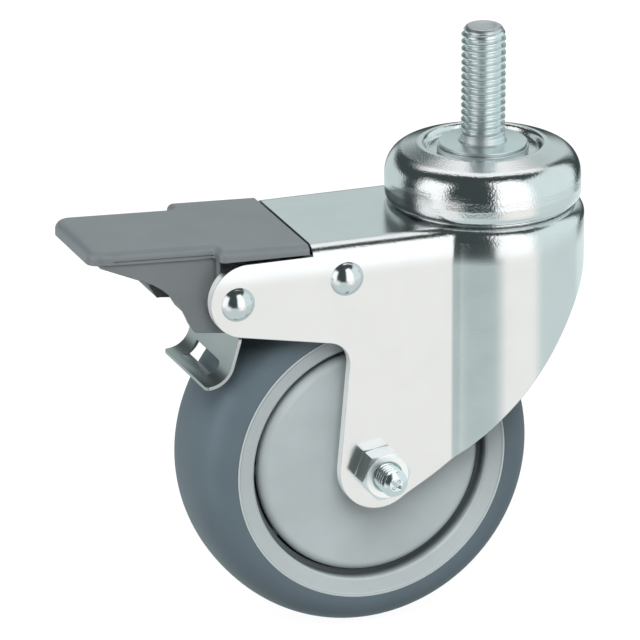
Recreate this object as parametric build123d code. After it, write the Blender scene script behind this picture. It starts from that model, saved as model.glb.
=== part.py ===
from build123d import *
import math
import os

os.makedirs("parts", exist_ok=True)

# Swivel castor with a threaded stem, a soft-tread wheel and a foot pedal that locks wheel and swivel.
# Millimetres. Z is up. The origin is on the swivel axis, on the seat that the stem is screwed home against.
# The wheel trails towards -X, the pedal points towards -X, and the axle runs along Y.

# ---- driving dimensions ----
WHEEL_DIAMETER = 101.6
AXLE_DROP = 86.5            # seat down to axle
TRAIL = 40.3                # swivel axis to axle
STEM_DIAMETER = 12.7
STEM_LENGTH = 34.4
AXLE_DIAMETER = 8.0

FORK_SHEET = 3.0
FORK_HALF_WIDTH = 23.2      # outside of the flat cheeks
FORK_BEND = 4.0             # outside bend radius along the top plate
HEAD_RADIUS = 29.1          # round head of the fork
PLATE_TOP = -17.2           # top face of the fork's plate

CUP_RADIUS = 28.1
CUP_SHEET = 2.2

PEDAL_PIVOT = (-82.8, 54.8)     # X, and height above the axle
BRAKE_PIVOT = (-50.15, 58.5)
RIVET_SHANK = 3.25
PIVOT_TUBE = 5.0
RUNNING_GAP = 0.06              # radial clearance of a lever on its tube

AXLE_X = -TRAIL
AXLE_Z = -AXLE_DROP
FORK_INSIDE = FORK_HALF_WIDTH - FORK_SHEET
PLATE_UNDER = PLATE_TOP - FORK_SHEET
AT_AXLE = Pos(AXLE_X, 0, AXLE_Z)


def save(node, *solids):
    """Write one sub-part; like pieces share a file as separate solids."""
    shape = solids[0] if len(solids) == 1 else Compound(children=list(solids))
    export_step(shape, f"parts/{node}.step")


def turned(*edges):
    """A solid turned about the swivel axis from edges drawn as radius and height."""
    return revolve(Plane.XZ * make_face(Curve() + list(edges)), Axis.Z)


def turned_on_axle(*edges):
    """A solid turned about the axle from edges drawn as radius and distance along Y."""
    return revolve(make_face(Curve() + list(edges)), Axis.Y)


def circle_point(center, radius, degrees):
    angle = math.radians(degrees)
    return (center[0] + radius * math.cos(angle), center[1] + radius * math.sin(angle))


def groove_arc(center, radius, start, end):
    """A raceway's arc in a radius-and-height section, between two directions in degrees."""
    points = [circle_point(center, radius, a) for a in (start, (start + end) / 2, end)]
    return ThreePointArc(*points)


# ---- swivel head ----
SEAT_RADIUS = 12.7
SEAT_STEP = 0.6
COLLAR_RADIUS = 13.1
CUP_FLOOR = -2.6                # the stem's collar stands in the cup, down to here
SHANK_RADIUS = 8.0
LOWER_SHANK_RADIUS = 6.0
UPPER_BALL = 3.175
UPPER_CENTER = (20.3, -6.4)     # radius and height of the upper row's ball centres
LOWER_BALL = 2.778
LOWER_CENTER = (15.0, -15.6)
BALL_GAP = 0.07                 # raceway radius over ball radius
UPPER_COUNT = 18
LOWER_COUNT = 15

# Lower cone: washer with the lower raceway, held on the shank by the riveted end
CONE_TOP = -16.9
CONE_BOTTOM = -21.0
CONE_RADIUS = 18.8
RING_BOTTOM = -23.5
RING_RADIUS = 22.0
PEEN_DEPTH = 2.6
PEEN_RADIUS = 9.0


def make_stem():
    """Stem, seat disc, collar and shank turned from one bar; the lower end is peened over the lock ring."""
    r = STEM_DIAMETER / 2
    lead_in, lead_in_depth = 1.95, 2.0
    edge_break = 0.25
    undercut = 0.6
    collar_top = -SEAT_STEP - 0.4
    peen_bottom = RING_BOTTOM - PEEN_DEPTH
    outline = Polyline(
        (0, STEM_LENGTH),
        (r - lead_in, STEM_LENGTH),
        (r, STEM_LENGTH - lead_in_depth),
        (r, 0),
        (SEAT_RADIUS, 0),
        (SEAT_RADIUS, -SEAT_STEP),
        (SEAT_RADIUS - undercut, -SEAT_STEP),
        (SEAT_RADIUS - undercut, collar_top),
        (COLLAR_RADIUS, collar_top),
        (COLLAR_RADIUS, CUP_FLOOR),
        (SHANK_RADIUS, CUP_FLOOR),
        (SHANK_RADIUS, CONE_TOP),
        (LOWER_SHANK_RADIUS, CONE_TOP),
        (LOWER_SHANK_RADIUS, RING_BOTTOM),
        (PEEN_RADIUS, RING_BOTTOM),
    )
    sphere = (PEEN_RADIUS**2 + PEEN_DEPTH**2) / (2 * PEEN_DEPTH)
    half_angle = math.asin(PEEN_RADIUS / sphere) / 2
    dome_mid = (sphere * math.sin(half_angle), peen_bottom + sphere * (1 - math.cos(half_angle)))
    dome = ThreePointArc((PEEN_RADIUS, RING_BOTTOM), dome_mid, (0, peen_bottom))
    axis_line = Line((0, peen_bottom), (0, STEM_LENGTH))
    stem = turned(outline, dome, axis_line)
    outer_rims = ((SEAT_RADIUS, 0), (COLLAR_RADIUS, collar_top))
    circles = stem.edges().filter_by(GeomType.CIRCLE)
    rims = [e for e in circles for r, z in outer_rims if abs(e.radius - r) + abs(e.center().Z - z) < 0.01]
    return fillet(rims, edge_break)


def make_cup():
    """Deep-drawn bearing cup: sunk floor, rolled crest, sloping top, full shoulder and curled rim."""
    floor_radius = 15.8
    crest_radius = 17.8
    crest_top = -0.25
    slope_start = (18.9, -0.42)
    slope_angle = 20.0
    shoulder_a, shoulder_b = 6.45, 7.96
    shoulder_z = -9.6
    sweep_end = 73.8
    shoulder_center = (CUP_RADIUS - shoulder_a, shoulder_z)
    t = math.radians(sweep_end)
    slope_end = (
        shoulder_center[0] + shoulder_a * math.cos(t),
        shoulder_center[1] + shoulder_b * math.sin(t),
    )
    curl_top = -14.0
    rim = (26.3, -16.6)
    rim_inner = (24.4, -16.4)
    wall_inner = CUP_RADIUS - CUP_SHEET
    floor_under = CUP_FLOOR - CUP_SHEET
    groove = UPPER_BALL + BALL_GAP
    groove_in = circle_point(UPPER_CENTER, groove, 150.2)
    groove_out = circle_point(UPPER_CENTER, groove, 25)
    inner_shoulder = (wall_inner, -9.4)
    edges = [
        Line((SHANK_RADIUS, floor_under), (SHANK_RADIUS, CUP_FLOOR)),
        Line((SHANK_RADIUS, CUP_FLOOR), (floor_radius, CUP_FLOOR)),
        Bezier((floor_radius, CUP_FLOOR), (16.6, CUP_FLOOR), (16.4, crest_top), (crest_radius, crest_top)),
        Bezier((crest_radius, crest_top), (18.3, crest_top), (18.6, -0.31), slope_start),
        Line(slope_start, slope_end),
        EllipticalCenterArc(shoulder_center, shoulder_a, shoulder_b, start_angle=0, arc_size=sweep_end),
        Line((CUP_RADIUS, shoulder_z), (CUP_RADIUS, curl_top)),
        Bezier((CUP_RADIUS, curl_top), (CUP_RADIUS, -15.8), (27.4, -16.6), rim),
        Line(rim, rim_inner),
        Bezier(rim_inner, (25.5, -15.8), (wall_inner, -15.2), (wall_inner, curl_top)),
        Line((wall_inner, curl_top), inner_shoulder),
        Bezier(inner_shoulder, (wall_inner, -6.8), (24.6, -5.6), groove_out),
        groove_arc(UPPER_CENTER, groove, 25, 150.2),
        Line(groove_in, (SHANK_RADIUS, floor_under)),
    ]
    return turned(*edges)


def ball_row(center, radius, count):
    """A full row of loose balls about the swivel axis."""
    ball = Pos(center[0], 0, center[1]) * Sphere(radius)
    return [Rot(0, 0, 360 * (i + 0.5) / count) * ball for i in range(count)]


def make_lower_cone():
    """Hardened washer with the lower raceway."""
    groove = LOWER_BALL + BALL_GAP
    inner = circle_point(LOWER_CENTER, groove, -152)
    outer = circle_point(LOWER_CENTER, groove, -25)
    hub = 11.6
    edges = [
        Line((LOWER_SHANK_RADIUS, CONE_BOTTOM), (LOWER_SHANK_RADIUS, CONE_TOP)),
        Line((LOWER_SHANK_RADIUS, CONE_TOP), (hub, CONE_TOP)),
        Line((hub, CONE_TOP), inner),
        groove_arc(LOWER_CENTER, groove, -152, -25),
        Line(outer, (CONE_RADIUS, outer[1] - 0.4)),
        Line((CONE_RADIUS, outer[1] - 0.4), (CONE_RADIUS, CONE_BOTTOM + 1.0)),
        Line((CONE_RADIUS, CONE_BOTTOM + 1.0), (CONE_RADIUS - 1.0, CONE_BOTTOM)),
        Line((CONE_RADIUS - 1.0, CONE_BOTTOM), (LOWER_SHANK_RADIUS, CONE_BOTTOM)),
    ]
    return turned(*edges)


LOCK_NOTCHES = 24
NOTCH_WIDTH = 3.2
NOTCH_ROOT = 18.9


def make_lock_ring():
    """Toothed plate fixed to the stem; the brake lever's finger drops into one of its notches."""
    ring = Pos(0, 0, RING_BOTTOM) * extrude(Circle(RING_RADIUS) - Circle(LOWER_SHANK_RADIUS), CONE_BOTTOM - RING_BOTTOM)
    root = Pos(NOTCH_ROOT + NOTCH_WIDTH / 2, 0, 0) * Cylinder(NOTCH_WIDTH / 2, 20)
    mouth = Pos(NOTCH_ROOT + NOTCH_WIDTH / 2, 0, 0) * Box(
        10, NOTCH_WIDTH, 20, align=(Align.MIN, Align.CENTER, Align.CENTER)
    )
    notch = Pos(0, 0, RING_BOTTOM) * (root + mouth)
    for i in range(LOCK_NOTCHES):
        ring -= Rot(0, 0, 360 * i / LOCK_NOTCHES) * notch
    return ring


save("threaded_stem", make_stem())
save("bearing_cup", make_cup())
save("upper_balls", *ball_row(UPPER_CENTER, UPPER_BALL, UPPER_COUNT))
save("lower_balls", *ball_row(LOWER_CENTER, LOWER_BALL, LOWER_COUNT))
save("lower_cone", make_lower_cone())
save("swivel_lock_ring", make_lock_ring())


# ---- fork ----
LEG_RADIUS = 11.7                   # round foot of each leg, about the axle
ARM_CENTER = (-80.1, 55.5)          # round end of each pedal arm
ARM_RADIUS = 10.8
PLATE_END = -60.3                   # where the top plate stops behind the pedal
LEADING_EDGE = [                    # the long sweep of the leading edge, from the leg up
    (-28.0, -6.2),
    (-19.5, -0.8),
    (-10.0, 7.5),
    (2.0, 19.4),
    (12.0, 31.2),
    (20.0, 42.0),
    (26.0, 50.7),
    (30.5, 59.5),
]
LEADING_SLOPE = 35.0                # direction in degrees in which the sweep leaves the leg
PLAN_FILLET = 6.0                   # where the flat cheeks run into the round head
BOSS_RADIUS = 23.7
BOSS_TOP = -8.1


def fork_side_outline():
    """Side view of one cheek: leg, arm, top line and the long curved leading edge."""
    leg = (AXLE_X, 0)
    foot_front = circle_point(leg, LEG_RADIUS, LEADING_SLOPE - 90)
    leaving = circle_point((0, 0), 1, LEADING_SLOPE)
    front_x = LEADING_EDGE[-1][0]
    # back edge of the leg: a line tangent to the foot, leaning in by lean degrees
    lean = 5.0
    foot_back = circle_point(leg, LEG_RADIUS, 180 - lean)
    slope = math.tan(math.radians(lean))
    # lower edge of the arm: a line tangent to the arm's round end, falling towards the leg
    fall = 10.6
    arm_low = circle_point(ARM_CENTER, ARM_RADIUS, -90 - fall)
    drop = math.tan(math.radians(fall))
    corner_z = (arm_low[1] - drop * (foot_back[0] - slope * foot_back[1] - arm_low[0])) / (1 + drop * slope)
    corner = (foot_back[0] + slope * (corner_z - foot_back[1]), corner_z)
    plate = PLATE_TOP - AXLE_Z + 1
    arm_top = ARM_CENTER[1] + ARM_RADIUS
    leg_low = circle_point(leg, LEG_RADIUS, 240)
    arm_left = (ARM_CENTER[0] - ARM_RADIUS, ARM_CENTER[1])
    outline = [
        ThreePointArc(foot_back, leg_low, foot_front),
        Spline(foot_front, *LEADING_EDGE, tangents=[leaving, (0.4, 1.0)]),
        Line(LEADING_EDGE[-1], (front_x, plate)),
        Line((front_x, plate), (PLATE_END, plate)),
        Line((PLATE_END, plate), (PLATE_END, arm_top)),
        Line((PLATE_END, arm_top), (ARM_CENTER[0], arm_top)),
        ThreePointArc((ARM_CENTER[0], arm_top), arm_left, arm_low),
        Line(arm_low, corner),
        Line(corner, foot_back),
    ]
    face = make_face(Curve() + outline)
    inner_corner = [v for v in face.vertices() if (v.center() - Vector(*corner)).length < 0.01]
    return Pos(0, 0, AXLE_Z) * (Plane.XZ * fillet(inner_corner, 7.0))


def fork_plan(inset):
    """Plan of the pressing: a round head that the flat cheeks run into."""
    length = 100.0
    r = HEAD_RADIUS - inset
    w = FORK_HALF_WIDTH - inset
    shape = Circle(r) + Pos(-length / 2, 0) * Rectangle(length, 2 * w)
    hollow = [v for v in shape.vertices() if v.X > -length + 1]
    return fillet(hollow, PLAN_FILLET + inset)


def make_fork():
    """One pressing: top plate with a drawn-up ball seat, two cheeks wrapped round the head, legs and arms."""
    depth = 110.0
    groove = UPPER_BALL + BALL_GAP
    lower_groove = LOWER_BALL + BALL_GAP
    inner_bend = FORK_BEND - FORK_SHEET

    outer = Pos(0, 0, PLATE_TOP - depth) * extrude(fork_plan(0), depth)
    outer = fillet(outer.edges().group_by(Axis.Z)[-1], FORK_BEND)
    inner = Pos(0, 0, PLATE_UNDER - depth) * extrude(fork_plan(FORK_SHEET), depth)
    inner = fillet(inner.edges().group_by(Axis.Z)[-1], inner_bend)
    body = (outer - inner) & extrude(fork_side_outline(), 60, both=True)
    arm_clear = Pos(PLATE_END, 0, PLATE_UNDER) * Box(
        60, 2 * FORK_INSIDE, 60, align=(Align.MAX, Align.CENTER, Align.CENTER)
    )
    body -= arm_clear

    # ball seat: upper raceway outside, lower raceway inside
    lip_in = circle_point(UPPER_CENTER, groove, -150)
    lip_out = circle_point(UPPER_CENTER, groove, -32)
    seat_foot = 1.5
    hole = 10.0
    shelf = -10.2
    boss = turned(
        Line((hole, PLATE_UNDER), (hole, shelf)),
        Line((hole, shelf), (15.6, shelf)),
        Line((15.6, shelf), lip_in),
        groove_arc(UPPER_CENTER, groove, -150, -32),
        Line(lip_out, (BOSS_RADIUS, lip_out[1] - 0.3)),
        Line((BOSS_RADIUS, lip_out[1] - 0.3), (BOSS_RADIUS, PLATE_TOP + seat_foot)),
        ThreePointArc(
            (BOSS_RADIUS, PLATE_TOP + seat_foot),
            (BOSS_RADIUS + seat_foot * 0.293, PLATE_TOP + seat_foot * 0.293),
            (BOSS_RADIUS + seat_foot, PLATE_TOP),
        ),
        Line((BOSS_RADIUS + seat_foot, PLATE_TOP), (BOSS_RADIUS + seat_foot, PLATE_UNDER)),
        Line((BOSS_RADIUS + seat_foot, PLATE_UNDER), (hole, PLATE_UNDER)),
    )
    track_in = circle_point(LOWER_CENTER, lower_groove, 150)
    track_out = circle_point(LOWER_CENTER, lower_groove, 30)
    inside_wall = BOSS_RADIUS - FORK_SHEET
    hollow = turned(
        Line((0, PLATE_UNDER - 1), (0, track_in[1])),
        Line((0, track_in[1]), track_in),
        groove_arc(LOWER_CENTER, lower_groove, 150, 30),
        Line(track_out, (18.4, -13.0)),
        Line((18.4, -13.0), (inside_wall - 0.8, -13.0)),
        Line((inside_wall - 0.8, -13.0), (inside_wall, -13.8)),
        Line((inside_wall, -13.8), (inside_wall, PLATE_UNDER - 1)),
        Line((inside_wall, PLATE_UNDER - 1), (0, PLATE_UNDER - 1)),
    )
    body = body + boss - hollow
    body -= Pos(0, 0, -15) * Cylinder(hole, 30)

    # pressed step that the cup's rim runs over
    step_radius, step_height = 26.0, 0.35
    body += Pos(0, 0, PLATE_TOP) * extrude(Circle(step_radius) - Circle(BOSS_RADIUS), step_height)

    for x, z, r in (
        (AXLE_X, 0, AXLE_DIAMETER / 2 + 0.1),
        (*PEDAL_PIVOT, RIVET_SHANK),
        (*BRAKE_PIVOT, RIVET_SHANK),
    ):
        body -= Pos(x, 0, z + AXLE_Z) * Rot(90, 0, 0) * Cylinder(r, 80)
    return body


def make_rivet(pivot):
    """Mushroom-head rivet through both cheeks, set over on both sides."""
    head, height = 5.0, 3.2
    sphere = (head**2 + height**2) / (2 * height)
    y0 = FORK_HALF_WIDTH
    start = (0, y0 + height)
    half_angle = math.asin(head / sphere) / 2
    mid = (sphere * math.sin(half_angle), y0 + height - sphere * (1 - math.cos(half_angle)))
    half = turned_on_axle(
        Line((0, 0), (RIVET_SHANK, 0)),
        Line((RIVET_SHANK, 0), (RIVET_SHANK, y0)),
        Line((RIVET_SHANK, y0), (head, y0)),
        ThreePointArc((head, y0), mid, start),
        Line(start, (0, 0)),
    )
    rivet = half + mirror(half, Plane.XZ)
    return Pos(pivot[0], 0, pivot[1] + AXLE_Z) * rivet


def make_pivot_tube(pivot):
    """Spacer tube that keeps the cheeks apart; the lever turns on it."""
    ring = Circle(PIVOT_TUBE) - Circle(RIVET_SHANK)
    tube = extrude(Plane.XZ * ring, FORK_INSIDE, both=True)
    return Pos(pivot[0], 0, pivot[1] + AXLE_Z) * tube


CHEEK_OUTSIDE = 17.0                # outer face of the pedal lever's side walls
WASHER_RADIUS = 6.2


def make_pedal_washers():
    """Two thick washers that centre the pedal between the arms."""
    side_gap = 0.1
    ring = Circle(WASHER_RADIUS) - Circle(PIVOT_TUBE)
    near = CHEEK_OUTSIDE + side_gap
    washer = Plane.XZ.offset(near) * extrude(ring, FORK_INSIDE - near)
    washer = Pos(PEDAL_PIVOT[0], 0, PEDAL_PIVOT[1] + AXLE_Z) * washer
    return washer, mirror(washer, Plane.XZ)


save("fork", make_fork())
save("pedal_rivet", make_rivet(PEDAL_PIVOT))
save("brake_rivet", make_rivet(BRAKE_PIVOT))
save("pedal_pivot_tube", make_pivot_tube(PEDAL_PIVOT))
save("brake_pivot_tube", make_pivot_tube(BRAKE_PIVOT))
save("pedal_washers", *make_pedal_washers())

# ---- axle ----
SLEEVE_RADIUS = 6.0
NUT_FLATS = 13.0
NUT_HEIGHT = 6.8
BOLT_HEAD = 5.3
BOLT_END = FORK_HALF_WIDTH + NUT_HEIGHT + 7.0
BOLT_TAPER = 1.4                    # length of the bolt's tapered end
NUT_TURN = 9.0                      # degrees that the nut happens to stand at


def hex_block(flats, height, turn):
    """Hexagon with both faces' corners turned off at 30 degrees."""
    radius = flats / 2 / math.cos(math.radians(30))
    block = extrude(Rot(0, 0, turn) * RegularPolygon(radius, 6), height)
    rise = (radius + 1 - flats / 2) * math.tan(math.radians(30))
    cone = Cone(flats / 2, radius + 1, rise, align=(Align.CENTER, Align.CENTER, Align.MIN))
    cap = Pos(0, 0, height) * Rot(180, 0, 0) * cone
    middle = Pos(0, 0, rise) * Cylinder(
        radius + 1, height - 2 * rise, align=(Align.CENTER, Align.CENTER, Align.MIN)
    )
    return block & (cone + middle + cap)


def facing_near_side(shape, y):
    """Stand a solid drawn along +Z on the near cheek, pointing towards -Y."""
    return AT_AXLE * Pos(0, -y, 0) * Rot(90, 0, 0) * shape


def facing_far_side(shape, y):
    return AT_AXLE * Pos(0, y, 0) * Rot(-90, 0, 0) * shape


def make_axle_bolt():
    """Hexagon-head bolt; its end is spread with a punch so that the nut can't come off."""
    radius, end_radius = AXLE_DIAMETER / 2, 1.9
    length = FORK_HALF_WIDTH + BOLT_END - BOLT_TAPER
    upright = (Align.CENTER, Align.CENTER, Align.MIN)
    shank = Cylinder(radius, length, align=upright)
    shank += Pos(0, 0, length) * Cone(radius, end_radius, BOLT_TAPER, align=upright)
    head = Pos(0, 0, -BOLT_HEAD) * hex_block(NUT_FLATS, BOLT_HEAD, 0)
    return AT_AXLE * Pos(0, FORK_HALF_WIDTH, 0) * Rot(90, 0, 0) * (shank + head)


def make_axle_nut():
    bore = Cylinder(AXLE_DIAMETER / 2, 4 * NUT_HEIGHT)
    return facing_near_side(hex_block(NUT_FLATS, NUT_HEIGHT, NUT_TURN) - bore, FORK_HALF_WIDTH)


def make_axle_sleeve():
    """Tube clamped between the cheeks; the bearings' inner rings sit on it."""
    ring = Circle(SLEEVE_RADIUS) - Circle(AXLE_DIAMETER / 2 + 0.1)
    return AT_AXLE * extrude(Plane.XZ * ring, FORK_INSIDE, both=True)


save("axle_bolt", make_axle_bolt())
save("axle_nut", make_axle_nut())
save("axle_sleeve", make_axle_sleeve())

# ---- wheel ----
WHEEL_RADIUS = WHEEL_DIAMETER / 2
RIM_OUTER = 40.6                    # radius where tread meets rim on the side
RIM_FACE = 17.7                     # half width of the wheel there
RIM_INNER = 35.4
RIM_INNER_FACE = 16.8
GUARD_RADIUS = 33.25
GUARD_FACE = 16.0
BEARING_OUTER = 14.0
BEARING_IN = 6.0                    # near and far face of each ball bearing along Y
BEARING_OUT = 14.0
BEARING_BALL = 2.38
BEARING_PITCH = 10.0
BEARING_COUNT = 8
WEB_HALF = 2.6
RIB_COUNT = 10
LOCK_BEAD = 1.6                     # depth of the bead that keys the tread to the rim
BED_RADIUS = 42.6


def bed_edges(side):
    """Half of the seat between tread and rim, from the middle out to one side."""
    return [
        Line((BED_RADIUS + LOCK_BEAD, 0), (BED_RADIUS + LOCK_BEAD, side * 3.0)),
        Line((BED_RADIUS + LOCK_BEAD, side * 3.0), (BED_RADIUS, side * 4.2)),
        Line((BED_RADIUS, side * 4.2), (BED_RADIUS, side * 14.2)),
        Line((BED_RADIUS, side * 14.2), (RIM_OUTER, side * RIM_FACE)),
    ]


def make_tread():
    """Soft tread moulded over the rim: full crown and round shoulders."""
    pull = 0.70     # how full the shoulder is; 0.55 would be an ellipse
    drop = WHEEL_RADIUS - RIM_OUTER
    half = [
        Bezier(
            (WHEEL_RADIUS, 0),
            (WHEEL_RADIUS, side * RIM_FACE * pull),
            (RIM_OUTER + drop * pull, side * RIM_FACE),
            (RIM_OUTER, side * RIM_FACE),
        )
        for side in (1, -1)
    ]
    return AT_AXLE * turned_on_axle(*half, *bed_edges(1), *bed_edges(-1))


def make_wheel_centre():
    """Moulded centre: rim, thin web stiffened by ribs on both sides, and a hub for two ball bearings."""
    hub_outer = 18.0
    shoulder_bore = 12.4
    hub_face = BEARING_OUT
    rim_root = 33.7
    ledge = 12.4
    bead = 0.5
    sides = []
    for side in (1, -1):
        sides += [
            Line((RIM_OUTER, side * RIM_FACE), (RIM_OUTER - bead, side * RIM_FACE)),
            Line((RIM_OUTER - bead, side * RIM_FACE), (RIM_OUTER - 2 * bead, side * (RIM_FACE - 0.25))),
            Line((RIM_OUTER - 2 * bead, side * (RIM_FACE - 0.25)), (RIM_INNER + 0.5, side * (RIM_INNER_FACE + 0.05))),
            Line((RIM_INNER + 0.5, side * (RIM_INNER_FACE + 0.05)), (RIM_INNER, side * (RIM_INNER_FACE - 0.5))),
            Line((RIM_INNER, side * (RIM_INNER_FACE - 0.5)), (RIM_INNER - 0.2, side * ledge)),
            Line((RIM_INNER - 0.2, side * ledge), (rim_root + 0.2, side * ledge)),
            Line((rim_root + 0.2, side * ledge), (rim_root, side * WEB_HALF)),
            Line((rim_root, side * WEB_HALF), (hub_outer + 0.8, side * WEB_HALF)),
            Line((hub_outer + 0.8, side * WEB_HALF), (hub_outer, side * hub_face)),
            Line((hub_outer, side * hub_face), (BEARING_OUTER, side * hub_face)),
            Line((BEARING_OUTER, side * hub_face), (BEARING_OUTER, side * BEARING_IN)),
            Line((BEARING_OUTER, side * BEARING_IN), (shoulder_bore, side * BEARING_IN)),
        ]
    bore = Line((shoulder_bore, BEARING_IN), (shoulder_bore, -BEARING_IN))
    wheel = turned_on_axle(*sides, *bed_edges(1), *bed_edges(-1), bore)
    rib_height = 11.5
    rib_inner, rib_outer = hub_outer - 0.5, rim_root + 0.4
    rib = Pos((rib_inner + rib_outer) / 2, 0, 0) * Box(rib_outer - rib_inner, 2 * rib_height, 2.6)
    for i in range(RIB_COUNT):
        wheel += Rot(0, 360 * i / RIB_COUNT, 0) * rib
    return AT_AXLE * wheel


def bearing_outer_ring(side):
    groove = BEARING_BALL + BALL_GAP
    middle = (BEARING_IN + BEARING_OUT) / 2
    land = 12.1
    reach = math.degrees(math.acos((land - BEARING_PITCH) / groove))
    arc = groove_arc((BEARING_PITCH, middle), groove, -reach, reach)
    ring = turned_on_axle(
        Line((BEARING_OUTER, BEARING_IN), (BEARING_OUTER, BEARING_OUT)),
        Line((BEARING_OUTER, BEARING_OUT), (land, BEARING_OUT)),
        Line((land, BEARING_OUT), arc @ 1),
        arc,
        Line(arc @ 0, (land, BEARING_IN)),
        Line((land, BEARING_IN), (BEARING_OUTER, BEARING_IN)),
    )
    return AT_AXLE * (ring if side > 0 else mirror(ring, Plane.XZ))


def bearing_inner_ring(side):
    groove = BEARING_BALL + BALL_GAP
    middle = (BEARING_IN + BEARING_OUT) / 2
    land = 7.9
    reach = math.degrees(math.acos((BEARING_PITCH - land) / groove))
    arc = groove_arc((BEARING_PITCH, middle), groove, 180 + reach, 180 - reach)
    ring = turned_on_axle(
        Line((SLEEVE_RADIUS, BEARING_IN), (SLEEVE_RADIUS, BEARING_OUT)),
        Line((SLEEVE_RADIUS, BEARING_OUT), (land, BEARING_OUT)),
        Line((land, BEARING_OUT), arc @ 1),
        arc,
        Line(arc @ 0, (land, BEARING_IN)),
        Line((land, BEARING_IN), (SLEEVE_RADIUS, BEARING_IN)),
    )
    return AT_AXLE * (ring if side > 0 else mirror(ring, Plane.XZ))


def bearing_balls(side):
    middle = side * (BEARING_IN + BEARING_OUT) / 2
    ball = Pos(BEARING_PITCH, middle, 0) * Sphere(BEARING_BALL)
    return [AT_AXLE * Rot(0, 360 * i / BEARING_COUNT, 0) * ball for i in range(BEARING_COUNT)]


def make_bearing_spacer():
    """Distance tube on the sleeve between the two inner rings."""
    ring = Circle(7.6) - Circle(SLEEVE_RADIUS)
    return AT_AXLE * extrude(Plane.XZ * ring, BEARING_IN, both=True)


def make_thread_guard(side):
    """Dished plastic disc clamped between bearing and fork; keeps thread and hair out of the hub."""
    wall = 1.5
    edge_radius = 2.5
    skirt = GUARD_FACE - 4.2
    hub = 9.0
    inside = GUARD_FACE - wall
    corner = (GUARD_RADIUS - edge_radius * 0.293, GUARD_FACE - edge_radius * 0.293)
    guard = turned_on_axle(
        Line((SLEEVE_RADIUS, BEARING_OUT), (SLEEVE_RADIUS, FORK_INSIDE)),
        Line((SLEEVE_RADIUS, FORK_INSIDE), (hub, FORK_INSIDE)),
        Line((hub, FORK_INSIDE), (hub + 0.6, GUARD_FACE)),
        Line((hub + 0.6, GUARD_FACE), (GUARD_RADIUS - edge_radius, GUARD_FACE)),
        ThreePointArc(
            (GUARD_RADIUS - edge_radius, GUARD_FACE), corner, (GUARD_RADIUS, GUARD_FACE - edge_radius)
        ),
        Line((GUARD_RADIUS, GUARD_FACE - edge_radius), (GUARD_RADIUS, skirt)),
        Line((GUARD_RADIUS, skirt), (GUARD_RADIUS - wall, skirt)),
        Line((GUARD_RADIUS - wall, skirt), (GUARD_RADIUS - wall, inside)),
        Line((GUARD_RADIUS - wall, inside), (hub, inside)),
        Line((hub, inside), (8.0, BEARING_OUT)),
        Line((8.0, BEARING_OUT), (SLEEVE_RADIUS, BEARING_OUT)),
    )
    return AT_AXLE * (guard if side > 0 else mirror(guard, Plane.XZ))


save("tread", make_tread())
save("wheel_centre", make_wheel_centre())
save("bearing_spacer", make_bearing_spacer())
for name, side in (("near", -1), ("far", 1)):
    save(f"bearing_outer_ring_{name}", bearing_outer_ring(side))
    save(f"bearing_inner_ring_{name}", bearing_inner_ring(side))
    save(f"bearing_balls_{name}", *bearing_balls(side))
    save(f"thread_guard_{name}", make_thread_guard(side))

# ---- brake lever ----
BRAKE_SHEET = 1.0
SHOE_HALF_WIDTH = 17.4
SHOE_TOP = 43.8                     # height above the axle where the wide shoe ends
LEVER_HALF_WIDTH = 13.0             # outside of the ears
LEVER_LEVEL = 53.1                  # upper face where the lever passes under its tube
TONGUE_HALF_WIDTH = 5.5
TONGUE_START = -42.5                # X where the lever narrows to its tongue
FINGER_X = -20.7                    # rear face of the locking finger
FINGER_TOP = 62.7
FINGER_WIDTH = 2.6
SLOT_HEIGHT = 4.0
SLOT_CENTER = 31.3                  # height above the axle
SLOT_NEAR = -9.8                    # round end
SLOT_FAR = 10.2                      # square end
EAR_RADIUS = 6.6


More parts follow.
